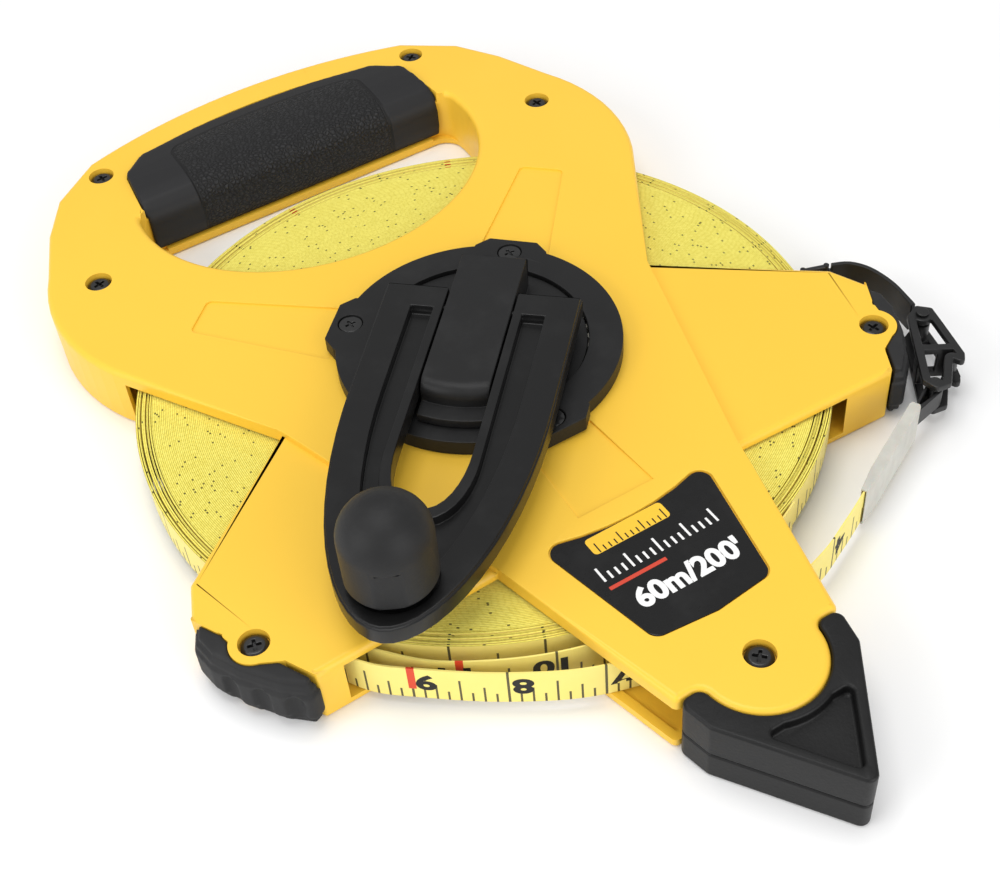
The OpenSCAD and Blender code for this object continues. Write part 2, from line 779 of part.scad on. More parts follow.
module end_hook() {
    color("#232325") difference() {
        union() {
            plate(hw_lo + 3.5, hw_hi - 3.5) {
                translate(link_hinge) circle(2.8);
                polygon(band(concat([link_hinge], spline(hook_route, 4)), 1.5));
            }
            plate(hw_lo + 0.4, hw_hi - 0.4) difference() {
                polygon(band(spline(hook_route, 4), 1.5));
                translate(link_hinge) circle(5.2);
            }
            plate(7, 12.6) translate(eye_xy) circle(2.3);
        }
        translate([link_hinge[0], link_hinge[1], 0]) cylinder(r = 1.2 + running, h = 20);
        translate([eye_xy[0], eye_xy[1], 0]) cylinder(r = 1, h = 20);
    }
}

module wire_loop() {
    reach = [-7.4, 2.6];
    wire_r = 0.9;
    color("#8f9194") translate(eye_xy) {
        for (p = [[0, 0], reach]) translate(p) translate([0, 0, 5 - wire_r]) cylinder(r = wire_r, h = 9.6 + 2 * wire_r);
        for (z = [5, 14.6]) translate([0, 0, z]) rotate([0, 90, atan2(reach[1], reach[0])])
            cylinder(r = wire_r - 0.05, h = norm(reach));
    }
}

bottom_frame();
top_frame();
case_screws();
handle_grip();
nose_upper();
nose_lower();
left_bumper();
right_bumper();
length_label();
axle();
axle_clip();
lower_washer();
upper_washer();
reel_drum();
reel_bush();
sun_gear();
wound_tape();
tape_anchor();
ring_gear();
hub_cover();
cover_screws();
carrier_plate();
planet_pins();
planet_gear_1();
planet_gear_2();
planet_gear_3();
crank_hub();
arm_pins();
crank_arm();
knob_spindle();
crank_knob();
tape_tail();
tape_sleeve();
end_tab();
end_link();
link_pin();
end_hook();
wire_loop();
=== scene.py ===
# %% [markdown]
# # A surveyor's open tape reel
#
# The reel is a yellow two-part frame with a coil of flat tape between its halves, a geared winder with a
# folding crank on top, and rubber where the hand and the ground touch it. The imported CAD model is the
# frame of this lesson: it fixes every size, and the looks are modelled round it in the same place.

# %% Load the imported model
import json
import math

import bmesh
import bpy
from mathutils import Matrix, Vector


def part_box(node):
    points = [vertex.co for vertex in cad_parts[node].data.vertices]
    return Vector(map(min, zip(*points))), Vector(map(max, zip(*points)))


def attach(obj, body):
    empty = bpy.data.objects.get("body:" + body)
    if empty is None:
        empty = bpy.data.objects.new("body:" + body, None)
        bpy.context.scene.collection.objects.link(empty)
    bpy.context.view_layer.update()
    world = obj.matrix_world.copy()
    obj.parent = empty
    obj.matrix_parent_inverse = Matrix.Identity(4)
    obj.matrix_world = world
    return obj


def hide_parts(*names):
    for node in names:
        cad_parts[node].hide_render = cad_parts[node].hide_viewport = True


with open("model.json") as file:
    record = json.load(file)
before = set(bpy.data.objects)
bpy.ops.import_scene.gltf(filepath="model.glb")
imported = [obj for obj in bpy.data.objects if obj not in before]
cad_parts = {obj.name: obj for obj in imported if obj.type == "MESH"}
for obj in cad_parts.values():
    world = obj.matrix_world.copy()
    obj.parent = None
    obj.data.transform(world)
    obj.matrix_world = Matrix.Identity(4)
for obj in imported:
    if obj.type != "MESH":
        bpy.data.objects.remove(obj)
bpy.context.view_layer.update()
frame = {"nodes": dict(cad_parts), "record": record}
nodes = frame["nodes"]

# %% [markdown]
# ## Sizes that several pieces share
#
# Blender works in metres and this reel is drawn in millimetres, so one factor turns one into the other.
# Most heights and radii come from the CAD parts' own boxes, so they can never drift apart from the frame;
# the foot's top and the drum's radius are given in millimetres.

# %% Shared sizes
MM = 0.001
DECK_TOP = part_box("top_frame")[1].z
FOOT_TOP = 19.4 * MM
TAPE_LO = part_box("wound_tape")[0].z
TAPE_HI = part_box("wound_tape")[1].z
COIL_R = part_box("wound_tape")[1].x
DRUM_R = 43.4 * MM
INCH = 25.4 * MM
print("deck", round(DECK_TOP, 4), "coil radius", round(COIL_R, 4))
print("tape from", round(TAPE_LO, 4), "to", round(TAPE_HI, 4))

# %% [markdown]
# ## The camera
#
# The view is from above the nose, a little to its left, with a slight roll. A camera is a place, a
# direction and a lens, so it is worked out from the angles instead of being dragged about.

# %% Camera
CAMERA_AZIMUTH = math.radians(-27.55)
CAMERA_ELEVATION = math.radians(46.18)
CAMERA_ROLL = math.radians(-5.6)
CAMERA_DISTANCE = 0.475
CAMERA_TARGET = Vector((-4.15, -15.66, 0)) * MM
CAMERA_LENS = 55.5
SENSOR_WIDTH = 36
NEAREST_SEEN = 0.02

back = Vector((math.sin(CAMERA_AZIMUTH) * math.cos(CAMERA_ELEVATION),
               -math.cos(CAMERA_AZIMUTH) * math.cos(CAMERA_ELEVATION),
               math.sin(CAMERA_ELEVATION)))
level = back.cross(Vector((0, 0, -1))).normalized()
upright = back.cross(level)
right = level * math.cos(CAMERA_ROLL) + upright * math.sin(CAMERA_ROLL)
up = upright * math.cos(CAMERA_ROLL) - level * math.sin(CAMERA_ROLL)

camera = bpy.data.objects.new("camera", bpy.data.cameras.new("camera"))
bpy.context.scene.collection.objects.link(camera)
camera.data.sensor_width = SENSOR_WIDTH
camera.data.lens = CAMERA_LENS
camera.data.clip_start = NEAREST_SEEN
camera.matrix_world = Matrix((right, up, back)).transposed().to_4x4()
camera.location = CAMERA_TARGET + back * CAMERA_DISTANCE
bpy.context.scene.camera = camera
print("camera at", [round(v, 3) for v in camera.location])

# %% [markdown]
# ## Floor and light
#
# A product table is a pale sheet under big soft lamps. One lamp above gives the soft highlights on the
# rounded edges, one from the left and one in front model the sides, and the pale surroundings fill the
# shadows, so that black plastic still shows its shape.

# %% Floor and lights
FLOOR_SIZE = 6
FLOOR_LEVEL = -0.0002
SURROUNDINGS = 0.53

bpy.ops.object.select_all(action="DESELECT")
bpy.ops.mesh.primitive_plane_add(size=FLOOR_SIZE, location=(0, 0, FLOOR_LEVEL))
floor = bpy.context.object
floor.name = "floor"


def area_lamp(name, place, size, watts):
    """A square soft lamp that looks at the axle's foot."""
    lamp = bpy.data.objects.new(name, bpy.data.lights.new(name, "AREA"))
    bpy.context.scene.collection.objects.link(lamp)
    lamp.location = place
    lamp.rotation_euler = (-Vector(place)).to_track_quat("-Z", "Y").to_euler()
    lamp.data.size = size
    lamp.data.energy = watts
    return lamp


area_lamp("lamp_above", (-0.1, 0.1, 1.35), 0.8, 7.8)
area_lamp("lamp_left", (-1.1, -0.1, 0.6), 0.8, 5.8)
area_lamp("lamp_front", (0.2, -1.25, 0.55), 0.9, 7.4)

world = bpy.data.worlds.new("surroundings")
bpy.context.scene.world = world
world.use_nodes = True
world.node_tree.nodes["Background"].inputs["Color"].default_value = (1, 1, 1, 1)
world.node_tree.nodes["Background"].inputs["Strength"].default_value = SURROUNDINGS
bpy.context.scene.view_settings.view_transform = "Standard"
print("three lamps and a pale floor")

# %% [markdown]
# ## Shader maths as plain expressions
#
# A pattern such as tape layers is a formula on the place of a point. Wrapping a node's socket in a small
# class lets that formula be written as Python, and each operator adds the Math node it stands for.

# %% Shader maths


class Value:
    """A number that varies over the surface: a node's output socket, with + - * / and friends."""

    def __init__(self, finish, socket):
        self.finish = finish
        self.socket = socket

    def maths(self, operation, *others, **settings):
        return self.finish.node("ShaderNodeMath", {"operation": operation, **settings},
                                {i: v for i, v in enumerate((self, *others))})

    def __add__(self, other):
        return self.maths("ADD", other)

    def __radd__(self, other):
        return self.maths("ADD", other)

    def __sub__(self, other):
        return self.maths("SUBTRACT", other)

    def __rsub__(self, other):
        return self.finish.node("ShaderNodeMath", {"operation": "SUBTRACT"}, {0: other, 1: self})

    def __mul__(self, other):
        return self.maths("MULTIPLY", other)

    def __rmul__(self, other):
        return self.maths("MULTIPLY", other)

    def __truediv__(self, other):
        return self.maths("DIVIDE", other)

    def __pow__(self, other):
        return self.maths("POWER", other)

    def __gt__(self, other):
        return self.maths("GREATER_THAN", other)

    def __lt__(self, other):
        return self.maths("LESS_THAN", other)

    def fraction(self):
        return self.maths("FRACT")

    def floor(self):
        return self.maths("FLOOR")

    def distance_to(self, other):
        return (self - other).maths("ABSOLUTE")

    def limited(self):
        return self.maths("MULTIPLY", 1.0, use_clamp=True)

    def between(self, low, high):
        """0 below low, 1 above high and a smooth ramp in between; high may be the lower number."""
        return self.finish.node("ShaderNodeMapRange", {"interpolation_type": "SMOOTHSTEP"},
                                {"Value": self, "From Min": low, "From Max": high})


class Finish:
    """A material being built: node() adds any node, and the helpers below name the common ones."""

    def __init__(self, name, color, roughness, metallic=0.0, specular=0.5):
        self.material = bpy.data.materials.new(name)
        self.material.use_nodes = True
        self.tree = self.material.node_tree
        self.shader = self.tree.nodes["Principled BSDF"]
        self.shader.inputs["Base Color"].default_value = (*color, 1)
        self.shader.inputs["Roughness"].default_value = roughness
        self.shader.inputs["Metallic"].default_value = metallic
        self.shader.inputs["Specular IOR Level"].default_value = specular
        self.place = self.node("ShaderNodeTexCoord", {}, {}, "Object")

    def node(self, kind, settings, inputs, output=0):
        made = self.tree.nodes.new(kind)
        for name, value in settings.items():
            setattr(made, name, value)
        for name, value in inputs.items():
            socket = made.inputs[name]
            if isinstance(value, Value):
                self.tree.links.new(value.socket, socket)
            else:
                socket.default_value = value
        return Value(self, made.outputs[output])

    def axis(self, letter, source=None):
        return self.node("ShaderNodeSeparateXYZ", {}, {0: source or self.place}, "XYZ".index(letter))

    def noise(self, scale, detail=2.0, rough=0.5, source=None, squeeze=None):
        where = source or self.place
        if squeeze:
            where = self.node("ShaderNodeVectorMath", {"operation": "MULTIPLY"}, {0: where, 1: squeeze})
        return self.node("ShaderNodeTexNoise", {}, {"Vector": where, "Scale": scale, "Detail": detail,
                                                    "Roughness": rough})

    def mix(self, share, one, two):
        """A colour between two colours."""
        made = self.tree.nodes.new("ShaderNodeMix")
        made.data_type = "RGBA"
        for socket, value in ((made.inputs[0], share), (made.inputs[6], one), (made.inputs[7], two)):
            if isinstance(value, Value):
                self.tree.links.new(value.socket, socket)
            else:
                socket.default_value = value if socket is made.inputs[0] else (*value, 1)
        return Value(self, made.outputs[2])

    def set(self, name, value):
        self.tree.links.new(value.socket, self.shader.inputs[name])

    def bump(self, height, depth, strength=1.0):
        """Relief of that depth in metres where height runs from 0 to 1."""
        self.set("Normal", self.node("ShaderNodeBump", {}, {"Height": height, "Distance": depth,
                                                            "Strength": strength}))


print("shader helpers ready")

# %% [markdown]
# ## Floor paper
#
# The sheet is matt and almost white, so it takes soft shadows and adds no colour of its own.

# %% Floor finish
paper = Finish("floor_paper", (0.93, 0.93, 0.93), 0.75, specular=0.2)
floor.data.materials.append(paper.material)
print("floor finish on", floor.name)

# %% [markdown]
# ## Helpers for modelling
#
# An operator works on whatever is selected, so every step first deselects everything and then selects,
# in code, the faces or edges it wants. One function does that and runs the operator in edit mode.

# %% Modelling helpers
KIND = {"VERT": "verts", "EDGE": "edges", "FACE": "faces"}


def alone(piece):
    """Select one piece and nothing else."""
    bpy.ops.object.select_all(action="DESELECT")
    piece.select_set(True)
    bpy.context.view_layer.objects.active = piece
    return piece


def shape(piece, kind, rule, tool, **settings):
    """In edit mode, select what meets the rule and run one mesh operator on it."""
    alone(piece)
    bpy.ops.object.mode_set(mode="EDIT")
    bpy.ops.mesh.select_mode(type=kind)
    bpy.ops.mesh.select_all(action="DESELECT")
    mesh = bmesh.from_edit_mesh(piece.data)
    chosen = [e for e in getattr(mesh, KIND[kind]) if rule(e)]
    for element in chosen:
        element.select_set(True)
    mesh.select_flush_mode()
    bmesh.update_edit_mesh(piece.data)
    if chosen:
        tool(**settings)
    bpy.ops.object.mode_set(mode="OBJECT")
    return len(chosen)


def bench_copy(node, name):
    """A copy of a CAD part with its triangles welded together at their shared points, ready to be shaped.
    """
    piece = bpy.data.objects.new(name, nodes[node].data.copy())
    bpy.context.scene.collection.objects.link(piece)
    piece.data.materials.clear()
    alone(piece)
    bpy.ops.mesh.customdata_custom_splitnormals_clear()
    shape(piece, "VERT", lambda v: True, bpy.ops.mesh.remove_doubles, threshold=0.03 * MM)
    return piece


def corner(edge):
    """The angle between an edge's two faces, in degrees; 0 where it hasn't two."""
    return math.degrees(edge.calc_face_angle(0)) if len(edge.link_faces) == 2 else 0


def middle(edge):
    return (edge.verts[0].co + edge.verts[1].co) / 2


def soften(piece, width, segments=3, rule=lambda e: True, angle=30):
    """Round the sharp edges that meet the rule."""
    return shape(piece, "EDGE", lambda e: corner(e) > angle and rule(e), bpy.ops.mesh.bevel,
                 offset=width, segments=segments, profile=0.5, affect="EDGES", clamp_overlap=False,
                 loop_slide=False)


def smooth(piece, angle=35):
    """Shade the rounded edges as curves, and keep the large flat faces flat beside them."""
    shape(piece, "FACE", lambda f: True, bpy.ops.mesh.dissolve_degenerate, threshold=0.01 * MM)
    alone(piece)
    bpy.ops.object.shade_smooth_by_angle(angle=math.radians(angle))
    weighted = piece.modifiers.new("flat_faces_stay_flat", "WEIGHTED_NORMAL")
    weighted.keep_sharp = True
    weighted.weight = 90
    bpy.ops.object.modifier_apply(modifier=weighted.name)


def dress(piece, finish, body, node=None):
    """Give a piece its finish, let it ride on its body and stand for its CAD part."""
    piece.data.materials.clear()
    piece.data.materials.append(finish.material)
    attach(piece, body)
    if node:
        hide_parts(node)
    print(piece.name, len(piece.data.polygons), "faces")
    return piece


print("modelling helpers ready")

# %% [markdown]
# ## Finish: yellow moulded case
#
# The case is moulded ABS: one even colour, a soft gloss and a very fine grain from the mould. A grain is
# relief, so it goes to a Bump node, and a slow noise moves colour and gloss a little, because no real
# moulding is perfectly even. Fine scratches where the reel is laid down would show as duller patches.

# %% Case finish
case = Finish("case_yellow", (0.93, 0.565, 0.05), 0.36, specular=0.36)
case_grain = case.noise(2400, 3, 0.6)
case_cloud = case.noise(16, 2, 0.5).between(0.35, 0.7)
case_rub = case.noise(90, 5, 0.7, squeeze=(1, 0.25, 1)).between(0.58, 0.72)
case.set("Base Color", case.mix(case_cloud * 0.4, (0.935, 0.575, 0.052), (0.91, 0.54, 0.044)))
case.set("Roughness", 0.33 + case_cloud * 0.06 + case_grain * 0.05 + case_rub * 0.07)
case.bump(case_grain, 0.000012)
print("case finish ready")

# %% [markdown]
# ## Finish: black mouldings
#
# Hub cover, crank and nose are the same glass-filled nylon with different mould surfaces, so one function
# makes them all and takes how coarse the grain is. Edges that are handled turn a little smoother: the
# bevelled edge shows a thin bright line by itself, because its rounding catches the lamps.

# %% Black plastic finishes


def black_plastic(name, shade, roughness, grain_scale, grain_depth, specular=0.22):
    finish = Finish(name, (shade, shade, shade * 1.02), roughness, specular=specular)
    grain = finish.noise(grain_scale, 3, 0.65)
    wear = finish.noise(60, 4, 0.65).between(0.45, 0.75)
    finish.set("Base Color", finish.mix(wear * 0.6, (shade, shade, shade * 1.02),
                                        (shade * 1.7, shade * 1.7, shade * 1.72)))
    finish.set("Roughness", roughness - 0.04 + grain * 0.1 + wear * 0.06)
    finish.bump(grain, grain_depth)
    return finish


cover_black = black_plastic("cover_black", 0.014, 0.42, 1500, 0.00002)
arm_black = black_plastic("crank_black", 0.008, 0.29, 1900, 0.000012, specular=0.3)
nose_black = black_plastic("nose_black", 0.006, 0.42, 1100, 0.00006, specular=0.3)
knob_black = black_plastic("knob_black", 0.016, 0.50, 1300, 0.00003)
screw_black = black_plastic("screw_black", 0.010, 0.28, 800, 0.00002, specular=0.6)
hook_black = black_plastic("hook_lacquer", 0.010, 0.36, 500, 0.00003, specular=0.45)
print("six black finishes ready")

# %% [markdown]
# ## Finish: rubber
#
# The corner bumpers are matt rubber, greyer than the nylon. The grip is the same rubber with a panel of
# pebbled grain where the palm sits. Pebbles are Voronoi cells: the distance to a cell's edge is a dome.

# %% Rubber finishes
rubber = black_plastic("bumper_rubber", 0.022, 0.6, 900, 0.00005, specular=0.24)
grip_rubber = black_plastic("grip_rubber", 0.016, 0.5, 1400, 0.00002, specular=0.25)

pebbled = Finish("grip_pebbles", (0.018, 0.018, 0.019), 0.5, specular=0.28)
pebble_place = pebbled.node("ShaderNodeVectorMath", {"operation": "MULTIPLY"},
                            {0: pebbled.place, 1: (1, 1.25, 1)})
pebble = pebbled.node("ShaderNodeTexVoronoi", {"feature": "DISTANCE_TO_EDGE"},
                      {"Vector": pebble_place, "Scale": 640.0, "Randomness": 0.85})
pebble_dome = (pebble * 3.2).limited()
print("rubber finishes ready")

# %% [markdown]
# ## Finish: metals, nylon and vinyl
#
# Zinc-plated steel is metallic with fine turning marks. The gears are natural acetal, a warm white that
# is a little waxy. The sleeve on the tape's end is frosted vinyl, greyish and uneven.

# %% Small-part finishes
steel = Finish("zinc_steel", (0.55, 0.56, 0.57), 0.36, metallic=1.0)
steel_marks = steel.noise(900, 2, 0.5, squeeze=(1, 1, 12))
steel.set("Roughness", 0.28 + steel_marks * 0.22)
steel.bump(steel_marks, 0.00001)

nylon = Finish("natural_acetal", (0.83, 0.80, 0.70), 0.42)
nylon_cloud = nylon.noise(220, 3, 0.6)
nylon.set("Base Color", nylon.mix(nylon_cloud, (0.86, 0.84, 0.75), (0.78, 0.74, 0.62)))
nylon.set("Roughness", 0.36 + nylon_cloud * 0.14)
nylon.bump(nylon_cloud, 0.00002)

vinyl = Finish("frosted_vinyl", (0.55, 0.54, 0.48), 0.42, specular=0.4)
vinyl_cloud = vinyl.noise(160, 4, 0.6)
vinyl_streak = vinyl.noise(700, 2, 0.5, squeeze=(1, 1, 0.15))
vinyl.set("Base Color", vinyl.mix(vinyl_cloud, (0.66, 0.65, 0.59), (0.44, 0.43, 0.38)))
vinyl.set("Roughness", 0.34 + vinyl_streak * 0.2)
vinyl.bump(vinyl_streak, 0.00004)
vinyl.shader.inputs["Subsurface Weight"].default_value = 0.15
vinyl.shader.inputs["Subsurface Scale"].default_value = 0.002
print("small-part finishes ready")

# %% [markdown]
# ## Finish: the side of the wound tape
#
# Seen from the side, the coil is over a hundred thin edges of yellow tape. Each edge is a short
# dash of weave, and printing ink that reached the edge leaves small dark specks. Both follow the turns, so
# the pattern works in polar cells: the turn's number and a number round it, shifted at random from
# turn to turn, and a White Noise node gives every cell its own value.

# %% Coil side finish
LAYER = 0.56 * MM
coil_side = Finish("tape_edges", (0.86, 0.77, 0.16), 0.62, specular=0.25)
cx = coil_side.axis("X")
cy = coil_side.axis("Y")
radius = (cx * cx + cy * cy) ** 0.5
turn = radius / LAYER
turn_number = turn.floor()
shuffle = coil_side.node("ShaderNodeTexWhiteNoise", {"noise_dimensions": "1D"}, {"W": turn_number})
angle = coil_side.node("ShaderNodeMath", {"operation": "ARCTAN2"}, {0: cx, 1: 0.0 - cy})


def polar_cells(count, seed):
    """A random value per cell of one turn, and how far along the cell a point is."""
    along = angle * (count / (2 * math.pi)) + shuffle * 57.3
    pair = coil_side.node("ShaderNodeCombineXYZ", {}, {"X": turn_number, "Y": along.floor(), "Z": seed})
    value = coil_side.node("ShaderNodeTexWhiteNoise", {"noise_dimensions": "3D"}, {"Vector": pair})
    return value, along.fraction()


dash, dash_place = polar_cells(330, 1.0)
speck, speck_place = polar_cells(520, 2.0)
across = (turn.fraction() - 0.5).maths("ABSOLUTE")
edge_gap = across.between(0.30, 0.5)
speck_mark = (speck > 0.972) * speck_place.distance_to(0.5).between(0.42, 0.2) * across.between(0.5, 0.3)
weave = (dash * 0.55 + dash_place.distance_to(0.5).between(0.2, 0.5) * 0.45)
slow = coil_side.noise(40, 3, 0.6)
lit = coil_side.mix(weave * 0.75, (0.93, 0.83, 0.17), (0.78, 0.66, 0.09))
# Painted shade: the colour darkens along the thin gap between neighbouring turns, and a slow noise varies
# how much.
lined = coil_side.mix(edge_gap * (0.22 + slow * 0.5), lit, (0.52, 0.42, 0.03))
coil_side.set("Base Color", coil_side.mix(speck_mark * 0.9, lined, (0.03, 0.028, 0.012)))
coil_side.set("Roughness", 0.55 + weave * 0.2)
coil_side.bump((1 - edge_gap) * (0.6 + weave * 0.4), 0.00018)
print("coil side finish ready, one turn every", LAYER, "m")

# %% [markdown]
# ## Finish: the printed face of the tape
#
# The face is a smooth pale yellow coat with thin black marks at every eighth of an inch, in four heights
# that start at the lower edge, and a red line at every twelfth inch. The marks are a formula of the
# distance along the tape, so they are drawn by the material. The distance comes from a UV map on the flat
# strips, and from the angle on the coil. The red lines count from where that distance is zero, not from
# the printed numbers.

# %% Printed tape face
# for each kind of mark: how many to the inch, how much of the tape's width it reaches, half its thickness
# in inches
MARKS = ((1, 1.05, 0.014), (2, 0.70, 0.012), (4, 0.50, 0.012), (8, 0.29, 0.012))
FOOT_IN_INCHES = 12
FOOT_LINE_SHARE = 0.0035


def printed_face(name, along_inches, height):
    """Tape face whose marks follow a distance in inches and a height from 0 to 1."""
    finish = Finish(name, (0.93, 0.83, 0.28), 0.42, specular=0.35)
    inches = along_inches(finish)
    tall = height(finish)
    ink = 0.0
    for parts, reach, width in MARKS:
        from_mark = (inches * parts + 0.5).fraction().distance_to(0.5)
        mark = (from_mark < width * parts) * (tall < reach)
        ink = mark + ink if isinstance(ink, Value) else mark
    weave_lines = finish.noise(1500, 2, 0.5, squeeze=(1, 1, 0.3))
    cloud = finish.noise(70, 3, 0.6)
    ground = finish.mix(cloud * 0.6, (0.93, 0.80, 0.24), (0.88, 0.72, 0.15))
    from_foot = (inches / FOOT_IN_INCHES + 0.5).fraction().distance_to(0.5)
    foot_line = (from_foot < FOOT_LINE_SHARE) * (tall > 0.3)
    printed = finish.mix(ink.limited() * 0.93, ground, (0.035, 0.033, 0.02))
    finish.set("Base Color", finish.mix(foot_line, printed, (0.70, 0.06, 0.02)))
    finish.set("Roughness", 0.36 + cloud * 0.12 + weave_lines * 0.06)
    finish.bump(weave_lines, 0.00003)
    return finish


def inches_by_uv(finish):
    return finish.axis("X", finish.node("ShaderNodeUVMap", {"uv_map": "tape"}, {}))


def height_by_uv(finish):
    return finish.axis("Y", finish.node("ShaderNodeUVMap", {"uv_map": "tape"}, {}))


def inches_by_angle(finish):
    bearing = finish.node("ShaderNodeMath", {"operation": "ARCTAN2"},
                          {0: finish.axis("X"), 1: 0.0 - finish.axis("Y")})
    return bearing * (COIL_R / INCH) + 0.62


def height_by_level(finish):
    return (finish.axis("Z") - TAPE_LO) / (TAPE_HI - TAPE_LO)


strip_face = printed_face("tape_face_strip", inches_by_uv, height_by_uv)
coil_face = printed_face("tape_face_coil", inches_by_angle, height_by_level)
ink_black = black_plastic("print_black", 0.016, 0.5, 900, 0.00001)
ink_red = Finish("print_red", (0.62, 0.05, 0.02), 0.5)
red_cloud = ink_red.noise(500, 2, 0.5)
ink_red.set("Roughness", 0.42 + red_cloud * 0.15)
ink_red.bump(red_cloud, 0.00001)
print("printed faces ready")

# %% [markdown]
# ## CAD parts that keep their shape
#
# Gears, pins and washers are hidden or small, and their CAD shape is the real one. They stay as they are
# and only get a finish, through the material slot that each part already has.

# %% Finishes on the CAD parts
FINISH_OF_SLOT = {
    "case_yellow": case, "black_plastic": cover_black, "knob_plastic": knob_black,
    "grip_rubber": grip_rubber, "bumper_rubber": rubber, "label_film": cover_black,
    "tape_fibreglass": coil_side, "steel": steel, "screw_black": screw_black,
    "gear_nylon": nylon, "sleeve_vinyl": vinyl, "end_metal": hook_black,
}
for part in frame["record"]["subparts"]:
    data = nodes[part["node"]].data
    data.materials.clear()
    data.materials.append(FINISH_OF_SLOT[part["material_slot"]].material)

# %% [markdown]
# ## The two frame halves
#
# A moulding has no knife edges: the outer rim of the deck is rounded by about two millimetres and every
# recess by a few tenths. The CAD shape is right but sharp, so a merged copy of it gets bevels. The rule
# tells the tall outer walls from the shallow recesses by how far the side face reaches down.

# %% Frame halves
SCREWS = [Vector(p) * MM for p in ((85.3, 101.5), (-85.3, 101.5), (63.1, 155.9), (-63.1, 155.9),
                                  (104.8, -58.8), (-104.8, -58.8), (0, -136.4))]
SCREW_LAND = 6.2 * MM
RIM_ROUND = 2.0 * MM
RECESS_ROUND = 0.35 * MM
LOWER_ROUND = 0.8 * MM
GRIP_HALF = 60 * MM
GRIP_FRONT = 121 * MM
GRIP_BACK = 165.5 * MM
BUMPER_IN = 90 * MM
BUMPER_BACK = -40 * MM
TALL_WALL_FOOT = 17.45 * MM


def near_screw(point):
    return any((point.xy - place).length < SCREW_LAND for place in SCREWS)


def under_grip(point):
    return abs(point.x) < GRIP_HALF and GRIP_FRONT < point.y < GRIP_BACK


def at_bumper(point):
    return abs(point.x) > BUMPER_IN and point.y < BUMPER_BACK


def level_at(edge, height):
    return all(abs(v.co.z - height) < 0.02 * MM for v in edge.verts)


def is_rim(edge):
    """True on the top edge of a tall outer wall."""
    spot = middle(edge)
    if not (level_at(edge, DECK_TOP) or level_at(edge, FOOT_TOP)) or spot.xy.length < 40 * MM:
        return False
    if near_screw(spot) or under_grip(spot) or at_bumper(spot):
        return False
    walls = [f for f in edge.link_faces if abs(f.normal.z) < 0.1]
    return any(min(v.co.z for v in f.verts) < TALL_WALL_FOOT for f in walls)


def is_recess(edge):
    """True on the top edge of a shallow recess, away from the screws."""
    spot = middle(edge)
    return level_at(edge, DECK_TOP) and 46 * MM < spot.xy.length and not near_screw(spot)


def is_lower_rim(edge):
    return level_at(edge, 0) and middle(edge).xy.length > 30 * MM


top_shell = bench_copy("top_frame", "case_top_half")
print("recess edges", soften(top_shell, RECESS_ROUND, 2, lambda e: is_recess(e) and not is_rim(e)))
print("rim edges", soften(top_shell, RIM_ROUND, 5, is_rim))
smooth(top_shell, 32)
dress(top_shell, case, "root", "top_frame")

bottom_shell = bench_copy("bottom_frame", "case_bottom_half")
print("lower rim", soften(bottom_shell, LOWER_ROUND, 3, is_lower_rim))
smooth(bottom_shell, 32)
dress(bottom_shell, case, "root", "bottom_frame")

# %% [markdown]
# ## Parts that only need soft edges
#
# Most of the smaller mouldings have the right CAD shape. What makes them look real is the thin bright
# line on each edge, so each one is copied, merged and bevelled by its own small amount. One loop does
# them all, from a list of part, edge radius in millimetres, steps round the edge and finish.

# %% Soft-edged parts
SOFT_PARTS = (
    ("hub_cover", 0.35, 2, cover_black), ("crank_hub", 0.4, 2, cover_black),
    ("crank_arm", 0.45, 2, arm_black), ("nose_upper", 0.9, 3, nose_black),
    ("nose_lower", 0.8, 3, nose_black), ("case_screws", 0.15, 2, screw_black),
    ("cover_screws", 0.15, 2, screw_black), ("crank_knob", 0.5, 3, knob_black),
    ("end_tab", 0.3, 2, hook_black), ("end_link", 0.4, 2, hook_black), ("link_pin", 0.3, 2, hook_black),
    ("end_hook", 0.3, 2, hook_black), ("tape_sleeve", 0.25, 2, vinyl), ("arm_pins", 0.2, 2, screw_black),
    ("knob_spindle", 0.3, 2, steel),
)


def body_of_node(node):
    """The CAD body that a part moves with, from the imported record."""
    for body, parts in frame["record"]["behaviour"]["bodies"].items():
        if node in parts:
            return body


for node, radius_mm, steps, finish in SOFT_PARTS:
    copy = bench_copy(node, "soft_" + node)
    soften(copy, radius_mm * MM, steps)
    smooth(copy, 32)
    dress(copy, finish, body_of_node(node), node)

# %% [markdown]
# ## Rubber bumpers
#
# Each foot ends in a rubber shoe with three upright grooves. The CAD shoe is a stack of outlines, so a
# copy is cut with three round bars and then remeshed: a voxel remesh turns it into an even skin, and the
# Smooth modifier rounds everything over, as moulded rubber is.

# %% Bumpers
GROOVE_PLACES = ((115.7, -62.0), (110.4, -70.3), (103.9, -77.8))
GROOVE_R = 3.0 * MM
GROOVE_TOP = 14.8 * MM


def remesh(piece, voxel, rounds):
    alone(piece)
    skin = piece.modifiers.new("skin", "REMESH")
    skin.mode = "VOXEL"
    skin.voxel_size = voxel
    bpy.ops.object.modifier_apply(modifier=skin.name)
    ease = piece.modifiers.new("ease", "SMOOTH")
    ease.factor = 0.5
    ease.iterations = rounds
    bpy.ops.object.modifier_apply(modifier=ease.name)


def groove_bar(x, y, bar_radius, top):
    """A round upright bar with a rounded top, to cut a groove with."""
    bpy.ops.object.select_all(action="DESELECT")
    bpy.ops.mesh.primitive_cylinder_add(vertices=32, radius=bar_radius, depth=top + 2 * MM,
                                        location=(x, y, top / 2 - 1 * MM))
    bar = bpy.context.object
    bpy.ops.object.transform_apply(location=True, rotation=True, scale=True)
    soften(bar, bar_radius * 0.9, 5, lambda e: middle(e).z > top - 0.1 * MM, 60)
    return bar


